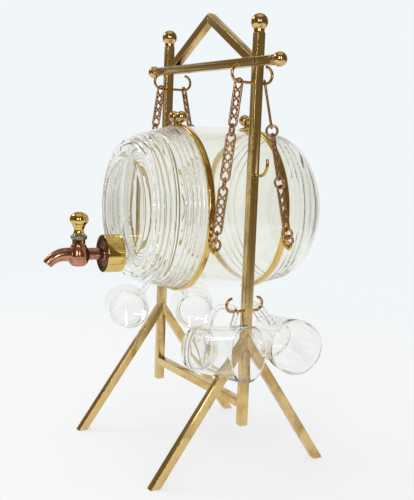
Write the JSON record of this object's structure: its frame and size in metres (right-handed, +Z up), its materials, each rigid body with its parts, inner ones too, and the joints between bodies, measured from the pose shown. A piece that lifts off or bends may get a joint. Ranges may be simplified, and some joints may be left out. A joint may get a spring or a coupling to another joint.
{
  "type": "cocktail dispenser",
  "caption": "Glass spirit barrel slung on lattice chains in a brass stand, with a front tap to pour from and glass mugs hung on hooks below.",
  "frame": {"origin": "middle of the footprint box on the table", "axes": "+Z up, X along the crossbar with the single side hook on +X, -Y towards the tap"},
  "size_m": [0.2692, 0.2604, 0.419],
  "materials": {
    "bar_brass": "satin, aged",
    "bright_brass": "polished",
    "old_brass": "cast, darkened",
    "barrel_glass": "clear, moulded",
    "mug_glass": "clear",
    "tin": "dull grey metal",
    "washer_leather": "plain"
  },
  "bodies": {
    "stand": {"post_right": "bar_brass", "post_left": "bar_brass", "leg_right_front": "bar_brass", "leg_right_back": "bar_brass", "leg_left_front": "bar_brass", "leg_left_back": "bar_brass", "post_foot_right": "bar_brass", "post_foot_left": "bar_brass", "roof_bar_right": "bar_brass", "roof_bar_left": "bar_brass", "crossbar": "bar_brass", "stretcher": "bar_brass", "lap_rivets": "bar_brass", "post_finials": "bar_brass", "crossbar_finials": "bar_brass", "chain_hooks": "bar_brass", "mug_hooks": "bar_brass", "side_hook": "bar_brass"},
    "hanging_barrel": {"barrel": "barrel_glass", "hoop_front": "bright_brass", "hoop_back": "bright_brass", "clamp_screws": "bright_brass", "clamp_nuts": "bright_brass", "neck_washer": "washer_leather", "cap": "bright_brass", "tap_body": "bright_brass"},
    "key": {"tap_key": "bright_brass", "tin_ring": "tin"},
    "chain_right_front_line": {"chain_right_front_link_1": "old_brass", "chain_right_front_link_2": "old_brass", "chain_right_front_link_3": "old_brass", "chain_right_front_rings": "old_brass"},
    "chain_right_back_line": {"chain_right_back_link_1": "old_brass", "chain_right_back_link_2": "old_brass", "chain_right_back_link_3": "old_brass", "chain_right_back_rings": "old_brass"},
    "chain_left_front_line": {"chain_left_front_link_1": "old_brass", "chain_left_front_link_2": "old_brass", "chain_left_front_link_3": "old_brass", "chain_left_front_rings": "old_brass"},
    "chain_left_back_line": {"chain_left_back_link_1": "old_brass", "chain_left_back_link_2": "old_brass", "chain_left_back_link_3": "old_brass", "chain_left_back_rings": "old_brass"},
    "mug_right_front_hung": {"mug_right_front": "mug_glass"},
    "mug_right_back_hung": {"mug_right_back": "mug_glass"},
    "mug_left_front_hung": {"mug_left_front": "mug_glass"},
    "mug_left_back_hung": {"mug_left_back": "mug_glass"}
  },
  "joints": [
    {"name": "chain_right_front_swing", "type": "hinge", "parent": "stand", "child": "chain_right_front_line", "pos_m": [0.08384, 0.00973, 0.3515], "axis": [0.9981, -0.061, 0], "range_deg": [-6, 6]},
    {"name": "barrel_tilt", "type": "hinge", "parent": "chain_right_front_line", "child": "hanging_barrel", "pos_m": [0.08379, -0.00783, 0.20621], "axis": [0.9981, -0.061, 0], "range_deg": [-2.5, 2.5]},
    {"name": "chain_left_front_swing", "type": "hinge", "parent": "stand", "child": "chain_left_front_line", "pos_m": [-0.08056, 0.01978, 0.3515], "axis": [0.9981, -0.061, 0], "range_deg": [-6.5, 6.5]},
    {"name": "chain_right_back_swing", "type": "hinge", "parent": "stand", "child": "chain_right_back_line", "pos_m": [0.08384, 0.03673, 0.3515], "axis": [0.9981, -0.061, 0], "range_deg": [-6.5, 6.5]},
    {"name": "chain_left_back_swing", "type": "hinge", "parent": "stand", "child": "chain_left_back_line", "pos_m": [-0.08056, 0.04678, 0.3515], "axis": [0.9981, -0.061, 0], "range_deg": [-6.5, 6.5]},
    {"name": "tap_key_turn", "type": "hinge", "parent": "hanging_barrel", "child": "key", "pos_m": [-0.00602, -0.09701, 0.19441], "axis": [0, 0, 1], "range_deg": [0, 90]},
    {"name": "mug_right_front_swing", "type": "hinge", "parent": "stand", "child": "mug_right_front_hung", "pos_m": [0.08319, 0.01161, 0.15543], "axis": [-0.9345, -0.3401, -0.1045], "range_deg": [0, 30]},
    {"name": "mug_right_back_swing", "type": "hinge", "parent": "stand", "child": "mug_right_back_hung", "pos_m": [0.08354, 0.03948, 0.15551], "axis": [0.9871, -0.1563, 0.0349], "range_deg": [0, 30]},
    {"name": "mug_left_front_swing", "type": "hinge", "parent": "stand", "child": "mug_left_front_hung", "pos_m": [-0.08029, 0.01688, 0.15563], "axis": [-0.9202, 0.3625, -0.1478], "range_deg": [0, 30]},
    {"name": "mug_left_back_swing", "type": "hinge", "parent": "stand", "child": "mug_left_back_hung", "pos_m": [-0.08132, 0.04504, 0.15546], "axis": [0.89, -0.4438, 0.1045], "range_deg": [0, 30]}
  ],
  "couplings": [
    {"joint": "barrel_tilt", "follows": "chain_right_front_swing", "ratio": -0.35177},
    {"joint": "chain_left_front_swing", "follows": "chain_right_front_swing", "ratio": 1},
    {"joint": "chain_right_back_swing", "follows": "chain_right_front_swing", "ratio": 1.0059},
    {"joint": "chain_left_back_swing", "follows": "chain_right_front_swing", "ratio": 1.0059}
  ]
}
